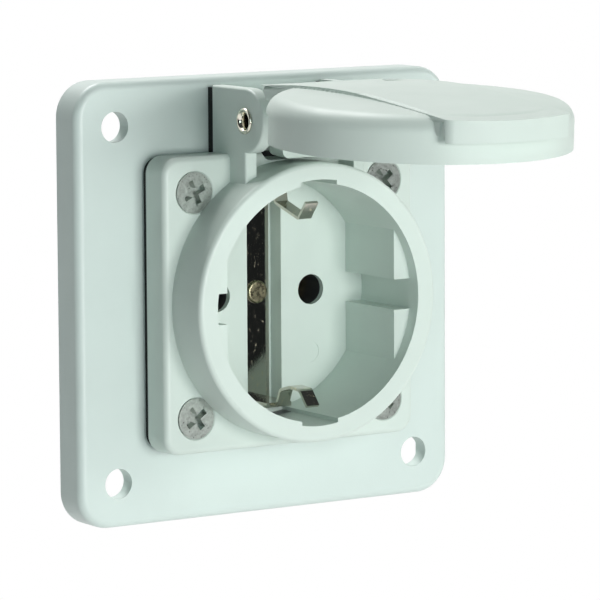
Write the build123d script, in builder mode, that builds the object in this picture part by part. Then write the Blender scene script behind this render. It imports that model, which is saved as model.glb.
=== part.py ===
from build123d import *
from math import cos, radians, sin
import os

# Panel-mounted schuko socket with hinged lid, on its adapter plate. Millimetres.
# Origin: centre of the adapter plate's front face. +Z up, -Y out of the panel, +X right.
# Heights named *_h are measured from that face out of the panel, negative ones lie behind it.

# Plug recess and the collar around it
recess_r = 20.1
recess_depth = 17.25
collar_wall = 3.5
collar_reach = 8.8
collar_edge_r = 0.8
guide_t = 3.37
guide_setback = 2.4
guide_notch = 5.2
clip_groove_w = 7.2
clip_groove_t = 0.7
strip_slot_w = 6.9
strip_slot_t = 3.3
pin_pitch = 19.0
pin_hole_d = 5.2
pin_lip_t = 1.1
mark_r = 1.9
mark_x = 9.2
mark_z = -10.8
mark_t = 0.1

# Lid, drawn in its own frame: s runs from the hinge to the finger lip, n is its outward side
lid_open = 87.0
lid_overhang = 1.2
lid_offset = 2.6
lid_rim_n = -0.3
lid_crown_n = 8.1
lid_shoulder_n = 7.16
lid_edge_r = 3.0
lid_collar_gap = 0.25
lid_skirt_wall = 1.2
lid_skirt_end = 0.08
lid_inside_n = 4.25
lid_pocket_n = 6.2
lip_reach = 2.6
lip_n = 3.6
lip_corner_r = 2.0
lip_edge_r = 1.0
band_half_w = 11.95
band_rear_s = 4.7
band_rear_n = 6.4
band_crown_n = 8.4
band_front_n = 6.35
field_rise = 0.6
field_half_w = 9.0
field_len = 8.6
field_start = 2.5
neck_s = 6.2
neck_t = 3.5
knuckle_r = 4.4
heel_half_w = 9.0
heel_s = 8.0
heel_n = 5.0
lug_half_w = 5.2
lug_reach_n = 6.5
lug_front_s = 1.2
lug_rear_s = 3.0
lug_edge_r = 1.3
seal_gap = 0.3
seal_w = 1.5
seal_t = 1.5
seal_rise = 0.1

# Flange of the housing and its gasket
gasket_t = 1.5
gasket_inset = 0.45
flange_margin = 0.2
flange_t = 5.7
flange_corner_r = 3.0
flange_edge_r = 1.0
screw_inset = 6.0
notch_half_w = 5.4
notch_r = 1.35

# Adapter plate
plate_margin = 12.5
plate_t = 6.5
plate_wall = 2.75
plate_rim = 2.5
plate_corner_r = 6.0
plate_edge_r = 1.4
plate_hole_inset = 7.5
plate_hole_d = 5.2
plate_rib_t = 1.6
opening_gap = 0.6
boss_r = 4.0

# Rear barrel, contact carrier and rear cover
floor_t = 5.25
barrel_margin = 0.9
barrel_step = 0.3
barrel_wall = 1.8
barrel_depth = 8.0
carrier_depth = 16.0
cover_t = 2.0
carrier_gap = 0.15
tower_r = 4.0
rear_screw_x = 8.5
rear_screw_z = 12.0

# Hinge: pin axis above the upper edge of the flange, ears at both ends
hinge_rise = 5.9
hinge_reach = 12.0
ear_r = 5.4
ear_in_x = 9.75
ear_w = 2.2
ear_edge_r = 0.4
web_reach = 11.9
web_w = 6.0
pin_r = 1.6
pin_bore_r = 1.15
pin_flare_r = 2.2
pin_flare_t = 0.5
pin_fit = 0.05
ear_side_gap = 0.35

# Earth strip, contacts and terminals
strip_w = 5.0
strip_t = 0.8
foot_inset = 1.4
foot_reach = 3.2
clip_w = 2.5
clip_t = 0.5
clip_rise = 4.75
clip_reach = 13.7
rivet_r = 1.5
rivet_head_r = 2.0
rivet_head_t = 0.6
sleeve_in_r = 2.42
sleeve_out_r = 3.0
sleeve_gap = 3.0
strap_t = 0.9
strap_w = 4.0
cage_w = 6.4
cage_h = 7.0
cage_z = 10.6
wire_hole_d = 3.8
wire_window = 5.2
clamp_r = 1.75
clamp_head_r = 2.8
clamp_head_t = 2.2

# Countersunk screws
screw_r = 1.7
screw_head_r = 3.45
screw_head_t = 2.0
screw_len = 12.8
cross_w = 1.1
cross_len = 4.2
cross_t = 1.6

# Derived sizes across the panel
collar_r = recess_r + collar_wall
guide_x = recess_r - guide_t
barrel_r = recess_r + barrel_margin
barrel_neck_r = barrel_r - barrel_step
opening_r = barrel_r + opening_gap
pocket_r = barrel_r - barrel_wall
carrier_r = pocket_r - carrier_gap
lid_r = collar_r + lid_overhang
flange_size = 2 * (lid_r + flange_margin)
screw_pitch = flange_size - 2 * screw_inset
plate_size = flange_size + 2 * plate_margin
plate_hole_pitch = plate_size - 2 * plate_hole_inset
flange_top_z = flange_size / 2
hinge_z = flange_top_z + hinge_rise
ear_out_x = ear_in_x + ear_w
foot_z = recess_r - foot_inset
pin_x = pin_pitch / 2

# Derived heights
flange_h = gasket_t + flange_t
collar_h = flange_h + collar_reach
floor_h = collar_h - recess_depth
floor_back_h = floor_h - floor_t
guide_h = collar_h - guide_setback
slot_h = floor_h - strip_slot_t
barrel_back_h = floor_back_h - barrel_depth
carrier_back_h = floor_back_h - carrier_depth
cover_back_h = carrier_back_h - cover_t
cage_front_h = carrier_back_h + 1.0 + cage_w
cage_back_h = cage_front_h - cage_w
wire_h = cage_front_h - cage_w / 2

# Derived places along the lid
lid_centre_s = hinge_z + lid_offset
lid_front_s = lid_centre_s + lid_r
band_front_s = lid_front_s + lip_reach
seal_in_r = recess_r + seal_gap
seal_out_r = seal_in_r + seal_w
skirt_clear_r = collar_r + lid_collar_gap
skirt_end_r = skirt_clear_r + lid_skirt_end
skirt_end_s = lid_centre_s - (lid_r**2 + lid_offset**2 - skirt_end_r**2) / (2 * lid_offset)

# Frame of the lid in its open pose
droop = radians(90.0 - lid_open)
hinge_point = (0, -hinge_reach, hinge_z)
lid_top = Plane(origin=hinge_point, x_dir=(1, 0, 0), z_dir=(0, -sin(droop), cos(droop)))
lid_side = Plane(origin=hinge_point, x_dir=(0, -cos(droop), -sin(droop)), z_dir=(-1, 0, 0))

os.makedirs("parts", exist_ok=True)


# Adapter plate: square tray with soft edges, open at the back
with BuildPart() as adapter_plate:
    with BuildSketch(Plane.XZ.offset(-plate_t)):
        RectangleRounded(plate_size, plate_size, plate_corner_r)
    extrude(amount=plate_t)
    plate_front_edges = adapter_plate.faces().sort_by(Axis.Y)[0].edges()
    fillet(plate_front_edges, plate_edge_r)
    with BuildSketch(Plane.XZ.offset(-plate_t)):
        inner = plate_size - 2 * plate_rim
        RectangleRounded(inner, inner, plate_corner_r - plate_rim)
    extrude(amount=plate_t - plate_wall, mode=Mode.SUBTRACT)
    # stiffening ring, ribs and screw bosses inside the tray
    with BuildSketch(Plane.XZ.offset(-plate_t)):
        Circle(opening_r + plate_rib_t)
        Rectangle(plate_size - plate_rim, plate_rib_t)
        Rectangle(plate_rib_t, plate_size - plate_rim)
        with GridLocations(screw_pitch, screw_pitch, 2, 2):
            Circle(boss_r)
    extrude(amount=plate_t - plate_wall / 2)
    with BuildSketch(Plane.XZ.offset(-plate_t)):
        Circle(opening_r)
        with GridLocations(plate_hole_pitch, plate_hole_pitch, 2, 2):
            Circle(plate_hole_d / 2)
        with GridLocations(screw_pitch, screw_pitch, 2, 2):
            Circle(screw_r - 0.2)
    extrude(amount=plate_t, mode=Mode.SUBTRACT)
adapter_plate.part.label = "adapter_plate"
export_step(adapter_plate.part, "parts/adapter_plate.step")


# Flange gasket: rubber sheet under the flange and under both ears
with BuildPart() as flange_gasket:
    gasket_size = flange_size - 2 * gasket_inset
    ear_mid_x = ear_in_x + ear_w / 2
    with BuildSketch(Plane.XZ):
        RectangleRounded(gasket_size, gasket_size, flange_corner_r - gasket_inset)
        for side in (-1, 1):
            with Locations((side * ear_mid_x, (hinge_z + ear_r) / 2)):
                Rectangle(ear_w - gasket_inset, hinge_z + ear_r - 2 * gasket_inset)
        Circle(opening_r, mode=Mode.SUBTRACT)
        with GridLocations(screw_pitch, screw_pitch, 2, 2):
            Circle(screw_r + 0.3, mode=Mode.SUBTRACT)
    extrude(amount=gasket_t)
flange_gasket.part.label = "flange_gasket"
export_step(flange_gasket.part, "parts/flange_gasket.step")


# Hinge ears with the webs that tie them to the collar, part of the housing's moulding
with BuildPart() as hinge_ears:
    for side in (-1, 1):
        ear_plane = Plane.YZ.offset(side * ear_in_x)
        with BuildSketch(ear_plane):
            with Locations((-(gasket_t + hinge_reach) / 2, hinge_z)):
                Rectangle(hinge_reach - gasket_t, 2 * ear_r)
            with Locations((-hinge_reach, hinge_z)):
                Circle(ear_r)
            with Locations((-(gasket_t + flange_h) / 2, flange_top_z)):
                Rectangle(flange_t, ear_r / 2)
            with Locations((-(flange_h - 1 + web_reach) / 2, flange_top_z - web_w / 2 + 1)):
                Rectangle(web_reach - flange_h + 1, web_w)
        extrude(amount=side * ear_w)
    ear_faces = hinge_ears.faces().sort_by(Axis.X)
    fillet(ear_faces[0].edges() + ear_faces[-1].edges(), ear_edge_r)


# Socket housing: flange, collar, plug recess, rear barrel and hinge ears in one moulding
with BuildPart() as socket_housing:
    # square flange with a soft front edge
    with BuildSketch(Plane.XZ.offset(gasket_t)):
        RectangleRounded(flange_size, flange_size, flange_corner_r)
    extrude(amount=flange_t)
    flange_front_edges = socket_housing.faces().sort_by(Axis.Y)[0].edges()
    fillet(flange_front_edges, flange_edge_r)
    # notch in the upper edge, room for the lug of the lid
    notch_depth = flange_top_z - collar_r
    with BuildSketch(Plane.XZ.offset(gasket_t)):
        with Locations((0, collar_r + notch_depth + 0.05)):
            RectangleRounded(2 * notch_half_w, 2 * notch_depth, notch_r)
    extrude(amount=flange_t, mode=Mode.SUBTRACT)
    # collar
    with BuildSketch(Plane.XZ.offset(gasket_t)):
        Circle(collar_r)
    extrude(amount=collar_h - gasket_t)
    collar_front_edge = socket_housing.faces().sort_by(Axis.Y)[0].edges()
    fillet(collar_front_edge, collar_edge_r)
    add(hinge_ears.part)
    # rear barrel with the pocket for the contact carrier, slimmer where it passes the plate
    with BuildSketch(Plane.XZ.offset(-plate_t)):
        Circle(barrel_neck_r)
    extrude(amount=gasket_t + plate_t)
    with BuildSketch(Plane.XZ.offset(barrel_back_h)):
        Circle(barrel_r)
    extrude(amount=-plate_t - barrel_back_h)
    with BuildSketch(Plane.XZ.offset(barrel_back_h)):
        Circle(pocket_r)
    extrude(amount=floor_back_h - barrel_back_h, mode=Mode.SUBTRACT)
    # plug recess with the two guide blocks at its sides
    with BuildSketch(Plane.XZ.offset(guide_h)):
        Circle(recess_r)
    extrude(amount=guide_setback, mode=Mode.SUBTRACT)
    with BuildSketch(Plane.XZ.offset(floor_h)):
        Circle(recess_r)
        Rectangle(2 * guide_x, 2 * recess_r, mode=Mode.INTERSECT)
    extrude(amount=recess_depth - guide_setback, mode=Mode.SUBTRACT)
    with BuildSketch(Plane.XZ.offset(floor_h)):
        Circle(recess_r)
        Rectangle(2 * recess_r, guide_notch, mode=Mode.INTERSECT)
    extrude(amount=recess_depth - guide_setback, mode=Mode.SUBTRACT)
    # grooves for the earth clips in the wall, slot for the strip in the floor
    with BuildSketch(Plane.XZ.offset(floor_h)):
        Circle(recess_r + clip_groove_t)
        Rectangle(clip_groove_w, 2 * collar_r, mode=Mode.INTERSECT)
    extrude(amount=recess_depth, mode=Mode.SUBTRACT)
    with BuildSketch(Plane.XZ.offset(slot_h)):
        Rectangle(strip_slot_w, 2 * recess_r - 1.0)
    extrude(amount=strip_slot_t, mode=Mode.SUBTRACT)
    # round moulding mark on the floor
    with BuildSketch(Plane.XZ.offset(floor_h - mark_t)):
        with Locations((mark_x, mark_z)):
            Circle(mark_r)
    extrude(amount=mark_t, mode=Mode.SUBTRACT)
    # pin holes, wider behind their lip for the towers of the carrier, and the rivet hole
    with BuildSketch(Plane.XZ.offset(floor_back_h)):
        with GridLocations(pin_pitch, 1, 2, 1):
            Circle(pin_hole_d / 2)
        Circle(rivet_r)
    extrude(amount=floor_t, mode=Mode.SUBTRACT)
    with BuildSketch(Plane.XZ.offset(floor_back_h)):
        with GridLocations(pin_pitch, 1, 2, 1):
            Circle(tower_r)
    extrude(amount=floor_t - pin_lip_t, mode=Mode.SUBTRACT)
    # rear screw holes
    with BuildSketch(Plane.XZ.offset(floor_back_h)):
        for side in (-1, 1):
            with Locations((side * rear_screw_x, rear_screw_z)):
                Circle(screw_r - 0.2)
    extrude(amount=floor_t - 1.2, mode=Mode.SUBTRACT)
    # flange screw holes with their countersinks
    with BuildSketch(Plane.XZ.offset(gasket_t)):
        with GridLocations(screw_pitch, screw_pitch, 2, 2):
            Circle(screw_r + 0.15)
    extrude(amount=flange_t, mode=Mode.SUBTRACT)
    for x in (-screw_pitch / 2, screw_pitch / 2):
        for z in (-screw_pitch / 2, screw_pitch / 2):
            cone_plane = Plane.XZ.offset(flange_h - screw_head_t - 0.02)
            with BuildSketch(cone_plane):
                with Locations((x, z)):
                    Circle(screw_r + 0.15)
            with BuildSketch(cone_plane.offset(screw_head_t + 0.02)):
                with Locations((x, z)):
                    Circle(screw_head_r + 0.25)
            loft(mode=Mode.SUBTRACT)
    # bore for the hinge pin
    with BuildSketch(Plane.YZ.offset(-ear_out_x)):
        with Locations((-hinge_reach, hinge_z)):
            Circle(pin_r)
    extrude(amount=2 * ear_out_x, mode=Mode.SUBTRACT)
socket_housing.part.label = "socket_housing"
export_step(socket_housing.part, "parts/socket_housing.step")


# Flange screws: countersunk, cross recess, one per corner, each left at its own angle
screw_places = {
    "flange_screw_top_left": (-1, 1, 25.0),
    "flange_screw_top_right": (1, 1, 40.0),
    "flange_screw_bottom_left": (-1, -1, 35.0),
    "flange_screw_bottom_right": (1, -1, 50.0),
}
for name, (side_x, side_z, turn) in screw_places.items():
    place = Location((side_x * screw_pitch / 2, side_z * screw_pitch / 2))
    with BuildPart() as flange_screw:
        with BuildSketch(Plane.XZ.offset(flange_h - screw_len)):
            with Locations(place):
                Circle(screw_r - 0.2)
        extrude(amount=screw_len)
        head_plane = Plane.XZ.offset(flange_h - screw_head_t)
        with BuildSketch(head_plane):
            with Locations(place):
                Circle(screw_r - 0.2)
        with BuildSketch(head_plane.offset(screw_head_t - 0.15)):
            with Locations(place):
                Circle(screw_head_r)
        loft()
        with BuildSketch(head_plane.offset(screw_head_t - 0.15)):
            with Locations(place):
                Circle(screw_head_r)
        extrude(amount=0.15)
        with BuildSketch(Plane.XZ.offset(flange_h - cross_t)):
            with Locations(place):
                Rectangle(cross_len, cross_w, rotation=turn)
                Rectangle(cross_w, cross_len, rotation=turn)
        extrude(amount=cross_t, mode=Mode.SUBTRACT)
    flange_screw.part.label = name
    export_step(flange_screw.part, "parts/" + name + ".step")


# Earth strip: flat bar riveted in the floor slot, both ends folded forward into spring clips
strip_back_y = -slot_h
strip_front_y = -(slot_h + strip_t)
with BuildPart() as earth_strip:
    with BuildSketch(Plane.XZ.offset(slot_h)):
        Rectangle(strip_w, 2 * foot_z + strip_t)
        Circle(rivet_r, mode=Mode.SUBTRACT)
    extrude(amount=strip_t)
    # wide feet along the wall of the recess
    for side in (-1, 1):
        with BuildSketch(Plane.XZ.offset(slot_h)):
            with Locations((0, side * foot_z)):
                Rectangle(strip_w, strip_t)
        extrude(amount=foot_reach - slot_h)
    # upper clip: slants inward to its nose, tip flared back out
    with BuildSketch(Plane.YZ.offset(-clip_w / 2)):
        with BuildLine():
            FilletPolyline(
                (-foot_reach + clip_t, foot_z),
                (-foot_reach - clip_t, foot_z),
                (-foot_reach - 2 * clip_t, foot_z - clip_rise * 0.55),
                (-clip_reach + 2.3, foot_z - clip_rise),
                (-clip_reach, foot_z - clip_rise * 0.4),
                radius=0.45,
            )
        trace(line_width=clip_t)
    extrude(amount=clip_w)
    # lower clip: stands off the wall, arches over and curls back
    with BuildSketch(Plane.YZ.offset(-clip_w / 2)):
        with BuildLine():
            FilletPolyline(
                (-foot_reach + clip_t, -foot_z),
                (-foot_reach - 2 * clip_t, -foot_z),
                (-foot_reach - 2.2, -foot_z + clip_rise * 0.6),
                (-foot_reach - 5.2, -foot_z + clip_rise * 0.77),
                (-clip_reach + 2.3, -foot_z + clip_rise * 0.74),
                (-clip_reach, -foot_z + clip_rise * 0.2),
                radius=0.9,
            )
        trace(line_width=clip_t)
    extrude(amount=clip_w)
earth_strip.part.label = "earth_strip"
export_step(earth_strip.part, "parts/earth_strip.step")


# Earth rivet: through the strip, the floor and the earth strap behind it
strap_back_h = floor_back_h - strap_t
with BuildPart() as earth_rivet:
    with BuildSketch(Plane.XZ.offset(strap_back_h - rivet_head_t)):
        Circle(rivet_head_r)
    extrude(amount=rivet_head_t)
    with BuildSketch(Plane.XZ.offset(strap_back_h)):
        Circle(rivet_r)
    extrude(amount=slot_h + strip_t - strap_back_h)
    with BuildSketch(Plane.XZ.offset(slot_h + strip_t)):
        Circle(rivet_head_r)
    extrude(amount=rivet_head_t)
    rivet_front_edge = earth_rivet.faces().sort_by(Axis.Y)[0].edges()
    fillet(rivet_front_edge, rivet_head_t * 0.7)
earth_rivet.part.label = "earth_rivet"
export_step(earth_rivet.part, "parts/earth_rivet.step")


# Contact carrier: rear moulding with a chamber for each contact and terminal
chamber_w = cage_w + 0.5
with BuildPart() as contact_carrier:
    with BuildSketch(Plane.XZ.offset(carrier_back_h)):
        Circle(carrier_r)
    extrude(amount=carrier_depth)
    # towers that reach up to the lips of the two pin holes
    with BuildSketch(Plane.XZ.offset(floor_back_h)):
        with GridLocations(pin_pitch, 1, 2, 1):
            Circle(tower_r - carrier_gap)
    extrude(amount=floor_t - pin_lip_t - carrier_gap)
    with BuildSketch(Plane.XZ.offset(floor_back_h)):
        with GridLocations(pin_pitch, 1, 2, 1):
            Circle(pin_hole_d / 2)
    extrude(amount=floor_t, mode=Mode.SUBTRACT)
    # pin passages with the round seats of the sleeves
    with BuildSketch(Plane.XZ.offset(carrier_back_h)):
        with GridLocations(pin_pitch, 1, 2, 1):
            Circle(sleeve_out_r + 0.15)
    extrude(amount=carrier_depth, mode=Mode.SUBTRACT)
    # terminal chambers, open at the back
    with BuildSketch(Plane.XZ.offset(carrier_back_h)):
        for x in (-pin_x, 0, pin_x):
            with Locations((x, -cage_z)):
                Rectangle(chamber_w, cage_h + 0.5)
        for x in (-pin_x, pin_x):
            with Locations((x, -cage_z / 2)):
                Rectangle(strap_w + 0.4, cage_z)
        with Locations((0, -cage_z / 2)):
            Rectangle(strap_w + 0.4, cage_z)
    extrude(amount=cage_w + 1.0 + strap_t + 0.2, mode=Mode.SUBTRACT)
    # channel of the earth strap from the rivet down to the earth terminal
    with BuildSketch(Plane.XZ.offset(cage_front_h)):
        with Locations((0, -cage_z / 2)):
            Rectangle(strap_w + 0.4, cage_z + strap_w)
    extrude(amount=floor_back_h - cage_front_h, mode=Mode.SUBTRACT)
    with BuildSketch(Plane.XZ.offset(floor_back_h - strap_t - rivet_head_t - 0.3)):
        Circle(rivet_head_r + 0.3)
    extrude(amount=strap_t + rivet_head_t + 0.3, mode=Mode.SUBTRACT)
    # wire entries from below, one into each terminal
    for x in (-pin_x, 0, pin_x):
        with BuildSketch(Plane.XY.offset(-carrier_r - 1)):
            with Locations((x, -wire_h)):
                Rectangle(wire_window, wire_window)
        extrude(amount=carrier_r + 1 - cage_z, mode=Mode.SUBTRACT)
    # passages of the two rear screws
    with BuildSketch(Plane.XZ.offset(carrier_back_h)):
        for side in (-1, 1):
            with Locations((side * rear_screw_x, rear_screw_z)):
                Circle(screw_r + 0.15)
    extrude(amount=carrier_depth, mode=Mode.SUBTRACT)
contact_carrier.part.label = "contact_carrier"
export_step(contact_carrier.part, "parts/contact_carrier.step")


# Pin contacts: split sleeve with a strap down to the terminal
sleeve_len = floor_back_h - sleeve_gap - cage_front_h
strap_top_z = -sleeve_in_r - 0.1
for name, x in (("contact_left", -pin_x), ("contact_right", pin_x)):
    with BuildPart() as pin_contact:
        with BuildSketch(Plane.XZ.offset(cage_front_h)):
            with Locations((x, 0)):
                Circle(sleeve_out_r)
                Circle(sleeve_in_r, mode=Mode.SUBTRACT)
            with Locations((x, sleeve_out_r)):
                Rectangle(0.8, 2 * sleeve_out_r - 2, mode=Mode.SUBTRACT)
        extrude(amount=sleeve_len)
        with BuildSketch(Plane.XZ.offset(cage_front_h)):
            with Locations((x, (strap_top_z - cage_z) / 2)):
                Rectangle(strap_w, cage_z + strap_top_z)
        extrude(amount=strap_t)
    pin_contact.part.label = name
    export_step(pin_contact.part, "parts/" + name + ".step")


# Earth strap: from the rivet to the earth terminal behind the floor
with BuildPart() as earth_strap:
    with BuildSketch(Plane.XZ.offset(floor_back_h - strap_t)):
        with Locations((0, -cage_z / 2)):
            Rectangle(strap_w, cage_z + strap_w)
        Circle(rivet_r, mode=Mode.SUBTRACT)
    extrude(amount=strap_t)
    with BuildSketch(Plane.XZ.offset(cage_front_h)):
        with Locations((0, -cage_z - strap_w / 2 + strap_t / 2)):
            Rectangle(strap_w, strap_t)
    extrude(amount=floor_back_h - cage_front_h)
earth_strap.part.label = "earth_strap"
export_step(earth_strap.part, "parts/earth_strap.step")


# Terminals: brass cages that take the wire from below and the clamp screw from behind
for name, x in (("terminal_left", -pin_x), ("terminal_earth", 0.0), ("terminal_right", pin_x)):
    with BuildPart() as terminal:
        with BuildSketch(Plane.XZ.offset(cage_back_h)):
            with Locations((x, -cage_z)):
                Rectangle(cage_w, cage_h)
        extrude(amount=cage_w)
        with BuildSketch(Plane.XY.offset(-cage_z - cage_h / 2)):
            with Locations((x, -wire_h)):
                Circle(wire_hole_d / 2)
        extrude(amount=cage_h - 1.0, mode=Mode.SUBTRACT)
        with BuildSketch(Plane.XZ.offset(cage_back_h)):
            with Locations((x, -cage_z)):
                Circle(clamp_r)
        extrude(amount=cage_w / 2, mode=Mode.SUBTRACT)
    terminal.part.label = name
    export_step(terminal.part, "parts/" + name + ".step")


# Clamp screws of the terminals, slotted heads reached through the rear cover
for name, x in (("clamp_screw_left", -pin_x), ("clamp_screw_earth", 0.0), ("clamp_screw_right", pin_x)):
    with BuildPart() as clamp_screw:
        with BuildSketch(Plane.XZ.offset(cage_back_h - 0.8)):
            with Locations((x, -cage_z)):
                Circle(clamp_r)
        extrude(amount=2.6)
        with BuildSketch(Plane.XZ.offset(cage_back_h - 0.8 - clamp_head_t)):
            with Locations((x, -cage_z)):
                Circle(clamp_head_r)
        extrude(amount=clamp_head_t)
        with BuildSketch(Plane.XZ.offset(cage_back_h - 0.8 - clamp_head_t)):
            with Locations((x, -cage_z)):
                Rectangle(2 * clamp_head_r, 0.9)
        extrude(amount=1.0, mode=Mode.SUBTRACT)
    clamp_screw.part.label = name
    export_step(clamp_screw.part, "parts/" + name + ".step")


# Rear cover: closes the contact chambers, leaves the clamp screws in reach
with BuildPart() as rear_cover:
    with BuildSketch(Plane.XZ.offset(cover_back_h)):
        Circle(carrier_r)
    extrude(amount=cover_t)
    with BuildSketch(Plane.XZ.offset(cover_back_h)):
        for x in (-pin_x, 0, pin_x):
            with Locations((x, -cage_z)):
                Circle(clamp_head_r + 0.3)
        for side in (-1, 1):
            with Locations((side * rear_screw_x, rear_screw_z)):
                Circle(screw_r + 0.15)
    extrude(amount=cover_t, mode=Mode.SUBTRACT)
rear_cover.part.label = "rear_cover"
export_step(rear_cover.part, "parts/rear_cover.step")


# Rear screws: hold the cover and the carrier to the floor of the housing
for name, side in (("rear_screw_left", -1), ("rear_screw_right", 1)):
    place = Location((side * rear_screw_x, rear_screw_z))
    with BuildPart() as rear_screw:
        with BuildSketch(Plane.XZ.offset(cover_back_h)):
            with Locations(place):
                Circle(screw_r - 0.2)
        extrude(amount=floor_back_h + floor_t - 1.6 - cover_back_h)
        with BuildSketch(Plane.XZ.offset(cover_back_h - screw_head_t)):
            with Locations(place):
                Circle(screw_head_r - 0.2)
        extrude(amount=screw_head_t)
        with BuildSketch(Plane.XZ.offset(cover_back_h - screw_head_t)):
            with Locations(place):
                Rectangle(cross_len, cross_w)
                Rectangle(cross_w, cross_len)
        extrude(amount=cross_t * 0.8, mode=Mode.SUBTRACT)
    rear_screw.part.label = name
    export_step(rear_screw.part, "parts/" + name + ".step")


# Hinge pin: hollow rivet through both ears, flared at each end
with BuildPart() as hinge_pin:
    with BuildSketch(Plane.YZ.offset(-ear_out_x)):
        with Locations((-hinge_reach, hinge_z)):
            Circle(pin_r)
    extrude(amount=2 * ear_out_x)
    for side in (-1, 1):
        with BuildSketch(Plane.YZ.offset(side * ear_out_x)):
            with Locations((-hinge_reach, hinge_z)):
                Circle(pin_flare_r)
        extrude(amount=side * pin_flare_t)
    flare_edges = [
        hinge_pin.faces().sort_by(Axis.X)[0].edges(),
        hinge_pin.faces().sort_by(Axis.X)[-1].edges(),
    ]
    fillet(flare_edges[0] + flare_edges[1], pin_flare_t * 0.8)
    with BuildSketch(Plane.YZ.offset(-ear_out_x - pin_flare_t)):
        with Locations((-hinge_reach, hinge_z)):
            Circle(pin_bore_r)
    extrude(amount=2 * (ear_out_x + pin_flare_t), mode=Mode.SUBTRACT)
hinge_pin.part.label = "hinge_pin"
export_step(hinge_pin.part, "parts/hinge_pin.step")


# Lid: domed disc with a raised band that runs from the knuckle to the finger lip
disc_centre = lid_top.from_local_coords((0, -lid_centre_s, 0))
with BuildPart() as lid:
    # raised band with the finger lip in front
    with BuildSketch(lid_side):
        with BuildLine():
            crown = ThreePointArc(
                (band_rear_s, band_rear_n),
                (lid_centre_s - 2, band_crown_n),
                (band_front_s, band_front_n),
            )
            Polyline(
                crown @ 1,
                (band_front_s, lip_n),
                (lid_front_s - lid_skirt_wall, lip_n),
                (lid_front_s - lid_skirt_wall, lid_inside_n),
                (band_rear_s + 1.6, lid_inside_n),
                crown @ 0,
            )
        make_face()
    extrude(amount=band_half_w, both=True)
    upright = lid.edges().filter_by(lambda e: abs(e.tangent_at(0.5).dot(lid_top.z_dir)) > 0.999)
    fillet(upright.sort_by(Axis.Y)[0:2], lip_corner_r)
    lip_face = lid.faces().sort_by(Axis.Y)[0]
    fillet(lip_face.edges().sort_by(Axis.Z)[-1], lip_edge_r)
    lip_face = lid.faces().sort_by(Axis.Y)[0]
    fillet(lip_face.edges().sort_by(Axis.Z)[0], lip_edge_r * 0.6)
    # disc, turned about its own centre
    with BuildSketch(Plane(origin=disc_centre, x_dir=(1, 0, 0), z_dir=-lid_top.y_dir)) as disc_profile:
        with BuildLine():
            dome = ThreePointArc(
                (0, lid_crown_n),
                (lid_r * 0.5, lid_crown_n - (lid_crown_n - lid_shoulder_n) * 0.3),
                (lid_r, lid_shoulder_n),
            )
            Line(dome @ 1, (lid_r, lid_rim_n))
            Line((lid_r, lid_rim_n), (0, lid_rim_n))
            Line((0, lid_rim_n), dome @ 0)
        make_face()
        fillet(disc_profile.vertices().group_by(Axis.X)[-1].sort_by(Axis.Y)[-1], lid_edge_r)
    revolve(axis=Axis(disc_centre, lid_top.z_dir))
    # room for the collar, concentric with it when the lid is closed
    with BuildSketch(lid_top.offset(lid_rim_n)):
        with Locations((0, -hinge_z)):
            Circle(skirt_clear_r)
        with Locations((0, -lid_centre_s)):
            Circle(lid_r - lid_skirt_wall)
        with Locations((0, -skirt_end_s / 2)):
            Rectangle(2 * lid_r + 2, skirt_end_s)
    extrude(amount=lid_inside_n - lid_rim_n, mode=Mode.SUBTRACT)
    # shallow plain field on the band next to the hinge
    with BuildSketch(lid_top.offset(band_rear_n + field_rise)):
        with Locations((0, -(band_rear_s + field_start + field_len / 2))):
            Rectangle(2 * field_half_w, field_len)
    extrude(amount=3, mode=Mode.SUBTRACT)
    # knuckle between the ears and its neck to the band
    with BuildSketch(lid_side):
        Circle(knuckle_r)
        with BuildLine():
            Polyline(
                (0, knuckle_r),
                (neck_s, band_rear_n - 0.2),
                (neck_s + neck_t, band_rear_n - 0.2),
                (neck_s + neck_t, lid_inside_n),
                (neck_s + neck_t * 0.2, lid_inside_n),
                (neck_s + neck_t * 0.2, lid_inside_n - 2.6),
                (knuckle_r * 0.7, -knuckle_r * 0.7),
                (0, knuckle_r),
            )
        make_face()
    extrude(amount=ear_in_x - ear_side_gap, both=True)
    # heel behind the pin, meets the upper edge of the flange when the lid is fully open
    with BuildSketch(lid_side):
        with BuildLine():
            Polyline(
                (0, -knuckle_r),
                (-heel_s * 0.4, -heel_n),
                (-heel_s, -heel_n),
                (-heel_s, -heel_n + 2.2),
                (0, knuckle_r),
                (0, -knuckle_r),
            )
        make_face()
    extrude(amount=heel_half_w, both=True)
    # lug below the knuckle, in front of the notch of the flange
    lug_plane = Plane(origin=hinge_point, x_dir=(1, 0, 0), z_dir=lid_side.x_dir)
    with BuildSketch(lug_plane.offset(-lug_rear_s)):
        with Locations((0, -lug_reach_n / 2)):
            RectangleRounded(2 * lug_half_w, lug_reach_n, lug_edge_r)
    extrude(amount=lug_rear_s + lug_front_s)
    # pin bore
    with BuildSketch(lid_side):
        Circle(pin_r + pin_fit)
    extrude(amount=ear_out_x, both=True, mode=Mode.SUBTRACT)
    # seat of the seal and the hollow inside the disc
    with BuildSketch(lid_top.offset(lid_inside_n - 2 * seal_rise)):
        with Locations((0, -hinge_z)):
            Circle(seal_out_r)
            Circle(seal_in_r, mode=Mode.SUBTRACT)
    extrude(amount=seal_t + seal_rise, mode=Mode.SUBTRACT)
    with BuildSketch(lid_top.offset(lid_inside_n - 0.01)):
        with Locations((0, -hinge_z)):
            Circle(seal_in_r - 1.2)
    extrude(amount=lid_pocket_n - lid_inside_n, mode=Mode.SUBTRACT)
lid.part.label = "lid"
export_step(lid.part, "parts/lid.step")


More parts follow.
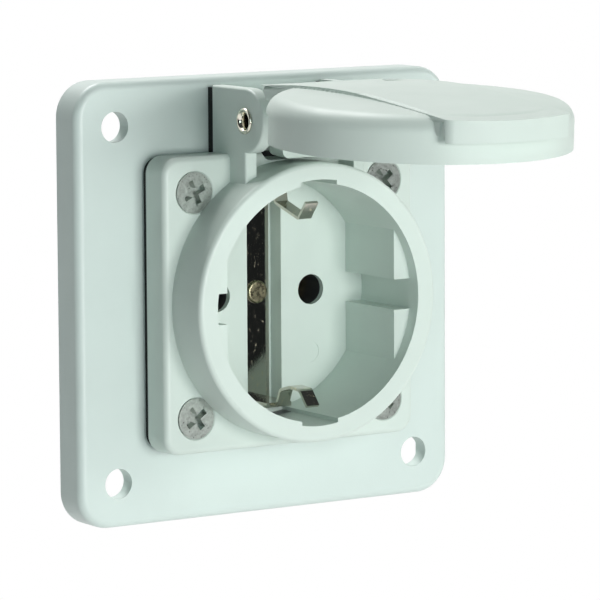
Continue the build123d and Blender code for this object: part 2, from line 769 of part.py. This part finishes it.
# Lid seal: rubber ring seated in the lid, meets the front of the collar when closed
with BuildPart() as lid_seal:
    with BuildSketch(lid_top.offset(lid_inside_n - seal_rise)):
        with Locations((0, -hinge_z)):
            Circle(seal_out_r)
            Circle(seal_in_r, mode=Mode.SUBTRACT)
    extrude(amount=seal_t)
lid_seal.part.label = "lid_seal"
export_step(lid_seal.part, "parts/lid_seal.step")
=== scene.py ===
from math import atan2, cos, pi, radians, sin, sqrt

import bmesh
import bpy
from mathutils import Matrix, Vector
from mathutils.bvhtree import BVHTree
from mathutils.geometry import barycentric_transform


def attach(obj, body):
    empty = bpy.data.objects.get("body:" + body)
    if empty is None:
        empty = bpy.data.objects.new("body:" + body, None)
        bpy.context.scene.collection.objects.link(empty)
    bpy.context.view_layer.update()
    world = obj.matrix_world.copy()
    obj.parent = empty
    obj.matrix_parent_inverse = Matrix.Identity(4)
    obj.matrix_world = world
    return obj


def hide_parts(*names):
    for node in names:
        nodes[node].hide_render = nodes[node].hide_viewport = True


# Looks of the panel-mounted schuko socket. Metres, in the frame of the CAD model:
# +Z up, -Y out of the panel towards the viewer, origin at the centre of the plate's front face.

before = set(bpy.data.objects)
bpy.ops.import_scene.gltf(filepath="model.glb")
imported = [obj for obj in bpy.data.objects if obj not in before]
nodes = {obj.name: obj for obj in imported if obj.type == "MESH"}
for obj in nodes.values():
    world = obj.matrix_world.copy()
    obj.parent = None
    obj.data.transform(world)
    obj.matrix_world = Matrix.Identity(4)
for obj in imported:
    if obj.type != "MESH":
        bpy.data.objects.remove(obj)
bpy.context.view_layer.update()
scene = bpy.context.scene


# Material helpers

def new_material(name):
    mat = bpy.data.materials.new(name)
    mat.use_nodes = True
    tree = mat.node_tree
    tree.nodes.clear()
    out = tree.nodes.new("ShaderNodeOutputMaterial")
    shader = tree.nodes.new("ShaderNodeBsdfPrincipled")
    tree.links.new(shader.outputs["BSDF"], out.inputs["Surface"])
    return mat, tree, shader


def object_noise(tree, scale, detail=4.0, rough=0.55, stretch=(1, 1, 1)):
    coords = tree.nodes.new("ShaderNodeTexCoord")
    mapping = tree.nodes.new("ShaderNodeMapping")
    mapping.inputs["Scale"].default_value = stretch
    noise = tree.nodes.new("ShaderNodeTexNoise")
    noise.inputs["Scale"].default_value = scale
    noise.inputs["Detail"].default_value = detail
    noise.inputs["Roughness"].default_value = rough
    tree.links.new(coords.outputs["Object"], mapping.inputs["Vector"])
    tree.links.new(mapping.outputs["Vector"], noise.inputs["Vector"])
    return noise.outputs["Fac"]


def ramp(tree, fac, stops):
    node = tree.nodes.new("ShaderNodeValToRGB")
    node.color_ramp.elements[0].position = stops[0][0]
    node.color_ramp.elements[0].color = stops[0][1]
    node.color_ramp.elements[1].position = stops[-1][0]
    node.color_ramp.elements[1].color = stops[-1][1]
    for pos, colour in stops[1:-1]:
        element = node.color_ramp.elements.new(pos)
        element.color = colour
    tree.links.new(fac, node.inputs["Fac"])
    return node.outputs["Color"]


def remap(tree, fac, low, high, from_low=0.3, from_high=0.7):
    node = tree.nodes.new("ShaderNodeMapRange")
    node.inputs["From Min"].default_value = from_low
    node.inputs["From Max"].default_value = from_high
    node.inputs["To Min"].default_value = low
    node.inputs["To Max"].default_value = high
    tree.links.new(fac, node.inputs["Value"])
    return node.outputs["Result"]


def bump(tree, shader, height, distance, strength=1.0):
    node = tree.nodes.new("ShaderNodeBump")
    node.inputs["Strength"].default_value = strength
    node.inputs["Distance"].default_value = distance
    tree.links.new(height, node.inputs["Height"])
    tree.links.new(node.outputs["Normal"], shader.inputs["Normal"])


def shade(colour, factor):
    return tuple(min(1.0, c * factor) for c in colour) + (1.0,)


def moulded_plastic(name, colour, rough=0.42, grain=0.00002):
    """Moulded plastic: faint cloudiness in colour and gloss, fine spark-eroded grain."""
    mat, tree, shader = new_material(name)
    cloud = object_noise(tree, 55.0, 3.0)
    tint = ramp(tree, cloud, [(0.3, shade(colour, 0.975)), (0.7, shade(colour, 1.02))])
    tree.links.new(tint, shader.inputs["Base Color"])
    blotch = object_noise(tree, 160.0, 4.0)
    tree.links.new(remap(tree, blotch, rough - 0.05, rough + 0.06), shader.inputs["Roughness"])
    shader.inputs["Specular IOR Level"].default_value = 0.45
    fine = object_noise(tree, 2600.0, 2.0, 0.5)
    bump(tree, shader, fine, grain, 0.35)
    return mat


def rubber(name, colour):
    mat, tree, shader = new_material(name)
    cloud = object_noise(tree, 220.0, 4.0)
    tint = ramp(tree, cloud, [(0.3, shade(colour, 0.8)), (0.7, shade(colour, 1.35))])
    tree.links.new(tint, shader.inputs["Base Color"])
    tree.links.new(remap(tree, cloud, 0.62, 0.8), shader.inputs["Roughness"])
    shader.inputs["Specular IOR Level"].default_value = 0.35
    fine = object_noise(tree, 1800.0, 3.0)
    bump(tree, shader, fine, 0.00004, 0.5)
    return mat


def metal(name, colour, rough=0.22, spread=0.1, grain=0.00001, fleck=300.0, dark=0.85):
    mat, tree, shader = new_material(name)
    cloud = object_noise(tree, fleck, 4.0, 0.6)
    tint = ramp(tree, cloud, [(0.3, shade(colour, dark)), (0.7, shade(colour, 1.03))])
    tree.links.new(tint, shader.inputs["Base Color"])
    tree.links.new(remap(tree, cloud, rough, rough + spread), shader.inputs["Roughness"])
    shader.inputs["Metallic"].default_value = 1.0
    fine = object_noise(tree, 1500.0, 3.0, 0.5)
    bump(tree, shader, fine, grain, 0.5)
    return mat


def worn_nickel(name, colour, scratch_colour):
    """Dark mirror of bright nickel, with fine rubbed streaks and specks that catch the light."""
    mat, tree, shader = new_material(name)
    streak = object_noise(tree, 1300.0, 8.0, 0.72, (1.0, 1.0, 0.55))
    worn = remap(tree, streak, 0.0, 1.0, 0.56, 0.70)
    tint = ramp(tree, worn, [(0.0, colour + (1.0,)), (1.0, scratch_colour + (1.0,))])
    tree.links.new(tint, shader.inputs["Base Color"])
    tree.links.new(remap(tree, worn, 0.07, 0.34, 0.0, 1.0), shader.inputs["Roughness"])
    shader.inputs["Metallic"].default_value = 1.0
    bump(tree, shader, streak, 0.00002, 0.35)
    return mat


grey_colour = (0.600, 0.690, 0.635)
plate_colour = (0.595, 0.690, 0.650)
plastic_plate = moulded_plastic("plate_plastic", plate_colour, 0.40)
plastic_housing = moulded_plastic("housing_plastic", grey_colour, 0.40)
plastic_lid = moulded_plastic("lid_plastic", grey_colour, 0.50)
plastic_carrier = moulded_plastic("carrier_plastic", (0.045, 0.048, 0.050), 0.45)
rubber_gasket = rubber("gasket_rubber", (0.010, 0.012, 0.012))
rubber_seal = rubber("seal_rubber", (0.020, 0.021, 0.022))
steel_screw = metal("screw_steel", (0.47, 0.52, 0.48), 0.26, 0.14, 0.00004, 2600.0, 0.74)
nickel = worn_nickel("bright_nickel", (0.56, 0.54, 0.48), (0.85, 0.74, 0.52))
rivet_nickel = metal("rivet_nickel", (0.30, 0.28, 0.18), 0.20, 0.20, 0.00006, 1700.0, 0.50)
nickel_pin = metal("pin_nickel", (0.80, 0.77, 0.66), 0.10, 0.08, 0.000004)
brass = metal("contact_brass", (0.78, 0.60, 0.28), 0.25, 0.15)

finish = {
    "adapter_plate": plastic_plate,
    "socket_housing": plastic_housing,
    "lid": plastic_lid,
    "contact_carrier": plastic_carrier,
    "rear_cover": plastic_carrier,
    "flange_gasket": rubber_gasket,
    "lid_seal": rubber_seal,
    "earth_strip": nickel,
    "earth_rivet": rivet_nickel,
    "hinge_pin": nickel_pin,
}
for name, obj in nodes.items():
    if "screw" in name:
        mat = steel_screw
    elif name in finish:
        mat = finish[name]
    else:
        mat = brass
    obj.data.materials.clear()
    obj.data.materials.append(mat)


# Lid: the CAD lid with a crisper band, whose finger lip follows the disc's own round
# In its frame s runs from the hinge to the lip and n is its outward side, both in millimetres

hinge_point = Vector((0.0, -0.0120, 0.0309))
lid_droop = radians(3.0)    # the open lid hangs by this much below the horizontal
lid_s = Vector((0.0, -cos(lid_droop), -sin(lid_droop)))
lid_n = Vector((0.0, -sin(lid_droop), cos(lid_droop)))
disc_s = 33.5               # the disc's centre
disc_r = 24.8
dome_crown = 8.1            # height of the dome in its middle, its fall to the rim, the rim's rounding
dome_fall = 1.15
dome_edge_r = 3.0
lip_r = 27.32               # round of the finger lip about the disc's centre
lip_low_n = 3.3             # underside of the lip, which is solid from lip_solid_s outward
lip_solid_s = 57.3
lip_inset = 0.12            # the CAD lip is trimmed this far inside the new one
band_w = 11.97              # half width of the band
band_corner_r = 1.8
band_edge_r = 0.4
band_rear_s = 4.75
band_crown_s = 31.5         # highest place of the band, its height there and at the hinge end
band_crown_n = 8.35
band_rear_n = 6.45
band_front_fall = 0.0228    # the band's fall in front of its crown, as a power of the distance
band_front_power = 1.25
band_low_n = 6.6            # how deep the band's slab reaches into the CAD lid
field_n = 7.0               # plain field next to the hinge
field_w = 9.0
field_s = (7.2, 15.8)
trim_clear = 0.5            # play of the trimming outline round the disc, and beside the band
trim_side = 0.3
trim_n = (-9.0, 12.0)
trim_rear_s = -9.0
dome_inner_share = 0.2      # the dome's cutter starts at this share of the shoulder's radius
dome_reach = 4.0            # and goes this far past the rim
dome_cut_n = 10.5
dome_side_gap = 0.03        # it stays clear of the band's side by this much


def lid_place(x, s, n):
    return hinge_point + Vector((x * 0.001, 0.0, 0.0)) + lid_s * (s * 0.001) + lid_n * (n * 0.001)


def dome_n(r):
    return dome_crown - dome_fall * (r / disc_r) ** 2


def band_n(s):
    if s < band_crown_s:
        share = (band_crown_s - s) / (band_crown_s - band_rear_s)
        return band_crown_n - (band_crown_n - band_rear_n) * share ** 2
    return band_crown_n - band_front_fall * (s - band_crown_s) ** band_front_power


def solid_from(name, rings, closed_ends=True):
    """Closed mesh through rings of points with equal counts, capped at both ends."""
    bm = bmesh.new()
    rows = [[bm.verts.new(point) for point in ring] for ring in rings]
    count = len(rows[0])
    for lower, upper in zip(rows, rows[1:]):
        for k in range(count):
            bm.faces.new((lower[k], lower[(k + 1) % count], upper[(k + 1) % count], upper[k]))
    if closed_ends:
        bm.faces.new(list(reversed(rows[0])))
        bm.faces.new(rows[-1])
    bmesh.ops.recalc_face_normals(bm, faces=bm.faces)
    mesh = bpy.data.meshes.new(name)
    bm.to_mesh(mesh)
    bm.free()
    obj = bpy.data.objects.new(name, mesh)
    scene.collection.objects.link(obj)
    return obj


def combine(target, operation, tool):
    step = target.modifiers.new("step", "BOOLEAN")
    step.operation = operation
    step.solver = "EXACT"
    step.object = tool
    bake(target)
    bpy.data.objects.remove(tool)


def bake(obj):
    """Turns the object's modifiers into its mesh."""
    bpy.context.view_layer.update()
    graph = bpy.context.evaluated_depsgraph_get()
    mesh = bpy.data.meshes.new_from_object(obj.evaluated_get(graph))
    obj.modifiers.clear()
    obj.data = mesh


def band_half_outline(inset=0.0):
    """Half widths along the band: straight side, rounded corner, lip concentric with the disc."""
    half_w = band_w - inset
    tip_r = lip_r - inset
    corner_x = half_w - band_corner_r
    corner_s = disc_s + sqrt((tip_r - band_corner_r) ** 2 - corner_x ** 2)
    meet = atan2(corner_x, corner_s - disc_s)
    steps = 40
    side = [(half_w, band_rear_s + (corner_s - band_rear_s) * k / steps) for k in range(steps)]
    turn = [pi / 2 - (pi / 2 - meet) * k / 8 for k in range(8)]
    corner = [(corner_x + band_corner_r * sin(a), corner_s + band_corner_r * cos(a)) for a in turn]
    sweep = [meet * (1 - k / 24) for k in range(24)]
    lip = [(tip_r * sin(a), disc_s + tip_r * cos(a)) for a in sweep]
    return side + corner + lip


def block(name, half_w, s_range, n_range):
    plan = [(-half_w, s_range[0]), (half_w, s_range[0]), (half_w, s_range[1]), (-half_w, s_range[1])]
    return solid_from(name, [[lid_place(x, s, n) for x, s in plan] for n in n_range])


def band_slab():
    """Slab under the band's curved top, made of rows across it; its front part reaches down into the lip."""
    across = 12
    rings = []
    for width, s in band_half_outline():
        low = lip_low_n if s > lip_solid_s else band_low_n
        top = [lid_place(-width + 2 * width * k / across, s, band_n(s)) for k in range(across + 1)]
        foot = [lid_place(width, s, low), lid_place(-width, s, low)]
        rings.append(top + foot)
    obj = solid_from("band", rings)
    edge = obj.modifiers.new("edge", "BEVEL")
    edge.width = band_edge_r * 0.001
    edge.segments = 4
    edge.limit_method = "ANGLE"
    edge.angle_limit = radians(50)
    bake(obj)
    return obj


def turned(name, profile, centre, axis, side, steps=180):
    """Closed ring turned about an axis from a closed profile of (radius, height), in metres."""
    other = axis.cross(side)
    rings = []
    for k in range(steps):
        a = 2 * pi * k / steps
        out = side * cos(a) + other * sin(a)
        rings.append([centre + out * r + axis * h for r, h in profile])
    rings.append(rings[0])
    obj = solid_from(name, rings, closed_ends=False)
    bm = bmesh.new()
    bm.from_mesh(obj.data)
    bmesh.ops.remove_doubles(bm, verts=bm.verts, dist=1e-7)
    bmesh.ops.recalc_face_normals(bm, faces=bm.faces)
    bm.to_mesh(obj.data)
    bm.free()
    return obj


def take_normals(mesh, source, near=0.00002):
    """Corner normals of the CAD mesh wherever the new mesh still lies on it."""
    source.calc_loop_triangles()
    source_normals = source.corner_normals
    triangles = list(source.loop_triangles)
    tree = BVHTree.FromPolygons([v.co for v in source.vertices], [tuple(t.vertices) for t in triangles])
    normals = [corner.vector.copy() for corner in mesh.corner_normals]
    for face in mesh.polygons:
        for k in face.loop_indices:
            point = mesh.vertices[mesh.loops[k].vertex_index].co.lerp(face.center, 0.02)
            hit, facing, index, gap = tree.find_nearest(point)
            if gap > near or facing.dot(face.normal) < 0.9:
                continue
            triangle = triangles[index]
            places = [source.vertices[v].co for v in triangle.vertices]
            smooth = [source_normals[loop].vector for loop in triangle.loops]
            normals[k] = barycentric_transform(hit, *places, *smooth).normalized()
    mesh.normals_split_custom_set(normals)


def make_lid():
    mesh = nodes["lid"].data.copy()
    bm = bmesh.new()
    bm.from_mesh(mesh)
    bmesh.ops.remove_doubles(bm, verts=bm.verts, dist=1e-7)
    bm.to_mesh(mesh)
    bm.free()
    obj = bpy.data.objects.new("lid_shell", mesh)
    scene.collection.objects.link(obj)
    # trim the lip to its round
    clear_r = disc_r + trim_clear
    side_x = band_w + trim_side
    # of the band's outline, only the lip beyond the disc counts
    front = [(x, s) for x, s in band_half_outline(lip_inset) if s > disc_s + clear_r * 0.93]
    bend = [pi / 2 + (atan2(side_x, clear_r) - pi / 2) * k / 48 for k in range(49)]
    plan = [(clear_r, trim_rear_s)] + [(clear_r * sin(a), disc_s + clear_r * cos(a)) for a in bend]
    plan += [(side_x, front[0][1] - 0.05)] + front
    plan += [(-x, s) for x, s in reversed(plan)]
    trim = solid_from("trim", [[lid_place(x, s, n) for x, s in plan] for n in trim_n])
    combine(obj, "INTERSECT", trim)
    # lower the dome on both sides of the band
    shoulder_r = disc_r - dome_edge_r
    drop_n = dome_n(shoulder_r) - dome_edge_r
    radii = [shoulder_r * (dome_inner_share + (1 - dome_inner_share) * k / 20) for k in range(21)]
    profile = [(r, dome_n(r)) for r in radii]
    profile += [(shoulder_r + dome_edge_r * sin(a), drop_n + dome_edge_r * cos(a))
                for a in [pi / 2 * k / 8 for k in range(1, 9)]]
    outer_r = disc_r + dome_reach
    profile += [(outer_r, drop_n), (outer_r, dome_cut_n), (radii[0], dome_cut_n)]
    profile = [(r * 0.001, n * 0.001) for r, n in profile]
    dome = turned("dome", profile, lid_place(0.0, disc_s, 0.0), lid_n, Vector((1.0, 0.0, 0.0)))
    combine(dome, "DIFFERENCE", block("footprint", band_w - dome_side_gap, (-20.0, 80.0), (-20.0, 20.0)))
    combine(obj, "DIFFERENCE", dome)
    # the band's new top and its plain field next to the hinge
    combine(obj, "UNION", band_slab())
    combine(obj, "DIFFERENCE", block("field", field_w, field_s, (field_n, 12.0)))
    bm = bmesh.new()
    bm.from_mesh(obj.data)
    bmesh.ops.remove_doubles(bm, verts=bm.verts, dist=2e-7)
    bmesh.ops.dissolve_degenerate(bm, edges=bm.edges, dist=1e-7)
    bm.to_mesh(obj.data)
    bm.free()
    obj.data.shade_smooth()
    obj.data.set_sharp_from_angle(angle=radians(28))
    weights = obj.modifiers.new("normals", "WEIGHTED_NORMAL")
    weights.keep_sharp = True
    bake(obj)
    take_normals(obj.data, nodes["lid"].data)
    obj.data.materials.clear()
    obj.data.materials.append(plastic_lid)
    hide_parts("lid")
    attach(obj, "lid")


make_lid()


# Hinge pin: hollow rivet with its ends rolled over the ears, in millimetres
# Its rim runs from the ear's face round into the bore, as (radius, distance from the pin's middle)

pin_rim = [(1.60, 11.95), (2.05, 11.95), (2.15, 12.02), (2.20, 12.15), (2.16, 12.30), (2.05, 12.41),
           (1.90, 12.45), (1.72, 12.41), (1.52, 12.24), (1.34, 11.98), (1.20, 11.60), (1.15, 11.20)]


def make_pin():
    half = [(r * 0.001, h * 0.001) for r, h in pin_rim]
    profile = half + [(r, -h) for r, h in reversed(half)]
    along, upward = Vector((1.0, 0.0, 0.0)), Vector((0.0, 0.0, 1.0))
    obj = turned("hinge_rivet", profile, hinge_point.copy(), along, upward, 96)
    obj.data.shade_smooth()
    obj.data.set_sharp_from_angle(angle=radians(60))
    obj.data.materials.append(nickel_pin)
    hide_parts("hinge_pin")
    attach(obj, "base")


make_pin()


# Stage: pale floor well below the part, which hangs on a panel; white where the camera sees it

def math_node(tree, operation, first, second):
    node = tree.nodes.new("ShaderNodeMath")
    node.operation = operation
    for socket, value in zip(node.inputs, (first, second)):
        if isinstance(value, (int, float)):
            socket.default_value = value
        else:
            tree.links.new(value, socket)
    return node.outputs["Value"]


def background_rays(tree, seen_by_gloss=1.0):
    """1 for camera rays, and for the glossy and transmission rays that meet the backdrop."""
    path = tree.nodes.new("ShaderNodeLightPath")
    bent = math_node(tree, "MAXIMUM", path.outputs["Is Glossy Ray"], path.outputs["Is Transmission Ray"])
    mirrored = math_node(tree, "MULTIPLY", bent, seen_by_gloss)
    return math_node(tree, "MAXIMUM", path.outputs["Is Camera Ray"], mirrored)


def stage_material(name, colour, seen=1.0):
    mat, tree, shader = new_material(name)
    cloud = object_noise(tree, 3.0)
    tint = ramp(tree, cloud, [(0.3, shade(colour, 0.98)), (0.7, shade(colour, 1.0))])
    tree.links.new(tint, shader.inputs["Base Color"])
    shader.inputs["Roughness"].default_value = 0.9
    out = [n for n in tree.nodes if n.type == "OUTPUT_MATERIAL"][0]
    glow = tree.nodes.new("ShaderNodeEmission")
    glow.inputs["Color"].default_value = (1, 1, 1, 1)
    glow.inputs["Strength"].default_value = seen
    mix = tree.nodes.new("ShaderNodeMixShader")
    tree.links.new(background_rays(tree), mix.inputs["Fac"])
    tree.links.new(shader.outputs["BSDF"], mix.inputs[1])
    tree.links.new(glow.outputs["Emission"], mix.inputs[2])
    tree.links.new(mix.outputs["Shader"], out.inputs["Surface"])
    return mat


floor_mesh = bpy.data.meshes.new("floor")
floor_half = 0.6
floor_z = -0.16
corners = [(x, y, floor_z) for x, y in ((-floor_half, -floor_half), (floor_half, -floor_half),
                                        (floor_half, floor_half), (-floor_half, floor_half))]
floor_mesh.from_pydata(corners, [], [(0, 1, 2, 3)])
floor = bpy.data.objects.new("floor", floor_mesh)
floor_mesh.materials.append(stage_material("floor_paper", (0.80, 0.80, 0.80)))
scene.collection.objects.link(floor)

world = bpy.data.worlds.new("studio")
scene.world = world
world.use_nodes = True
sky = world.node_tree
sky.nodes.clear()
sky_out = sky.nodes.new("ShaderNodeOutputWorld")
sky_mix = sky.nodes.new("ShaderNodeMixShader")
sky_light = sky.nodes.new("ShaderNodeBackground")
sky_seen = sky.nodes.new("ShaderNodeBackground")
sky_ray = sky.nodes.new("ShaderNodeTexCoord")
sky_split = sky.nodes.new("ShaderNodeSeparateXYZ")
sky_ramp = sky.nodes.new("ShaderNodeValToRGB")
sky_ramp.color_ramp.elements[0].position = 0.48
sky_ramp.color_ramp.elements[0].color = (0.10, 0.115, 0.12, 1)
sky_ramp.color_ramp.elements[1].position = 0.62
sky_ramp.color_ramp.elements[1].color = (0.30, 0.33, 0.33, 1)
sky_height = sky.nodes.new("ShaderNodeMapRange")
sky_height.inputs["From Min"].default_value = -1.0
sky.links.new(sky_ray.outputs["Generated"], sky_split.inputs["Vector"])
sky.links.new(sky_split.outputs["Z"], sky_height.inputs["Value"])
sky.links.new(sky_height.outputs["Result"], sky_ramp.inputs["Fac"])
sky.links.new(sky_ramp.outputs["Color"], sky_light.inputs["Color"])
sky_light.inputs["Strength"].default_value = 0.16
sky_seen.inputs["Color"].default_value = (1, 1, 1, 1)
sky_seen.inputs["Strength"].default_value = 1.0
# the white backdrop stands behind the part, the studio in front of it is dim
sky_behind = math_node(sky, "GREATER_THAN", sky_split.outputs["Y"], 0.1)
sky.links.new(background_rays(sky, sky_behind), sky_mix.inputs["Fac"])
sky.links.new(sky_light.outputs["Background"], sky_mix.inputs[1])
sky.links.new(sky_seen.outputs["Background"], sky_mix.inputs[2])
sky.links.new(sky_mix.outputs["Shader"], sky_out.inputs["Surface"])


# Lights: soft key from the front, a small one from the right, cool fill from the left, one from above

def area_light(name, place, target, width, height, power, colour=(1, 1, 1)):
    data = bpy.data.lights.new(name, "AREA")
    data.shape = "RECTANGLE"
    data.size = width
    data.size_y = height
    data.energy = power
    data.color = colour
    lamp = bpy.data.objects.new(name, data)
    lamp.location = place
    direction = Vector(target) - Vector(place)
    lamp.rotation_mode = "QUATERNION"
    lamp.rotation_quaternion = direction.to_track_quat("-Z", "Y")
    scene.collection.objects.link(lamp)


area_light("key", (0.05, -1.39, 0.03), (0, 0, 0), 0.6, 0.5, 13.4)
area_light("side", (1.19, -0.68, 0.29), (0, 0, 0), 0.35, 0.35, 5.5)
area_light("fill", (-0.79, -1.12, 0.20), (0, 0, 0), 0.4, 0.4, 2.1, (0.80, 1.0, 1.05))
area_light("rear", (0.0, 0.75, 1.15), (0, 0, 0), 0.8, 0.5, 19.0)


# Camera, at the photograph's viewing angle

right = Vector((0.837624, -0.546219, -0.005560))
up = Vector((0.071938, 0.100216, 0.992362))
back = -Vector((0.541489, 0.831626, -0.123238))
camera_data = bpy.data.cameras.new("camera")
camera_data.sensor_width = 36.0
camera_data.lens = 254.83
camera_data.clip_start = 0.05
camera_data.clip_end = 20.0
camera = bpy.data.objects.new("camera", camera_data)
place = Vector((-0.388025, -0.605908, 0.088246))
camera.matrix_world = Matrix.Translation(place) @ Matrix((right, up, back)).transposed().to_4x4()
scene.collection.objects.link(camera)
scene.camera = camera
scene.view_settings.view_transform = "Standard"
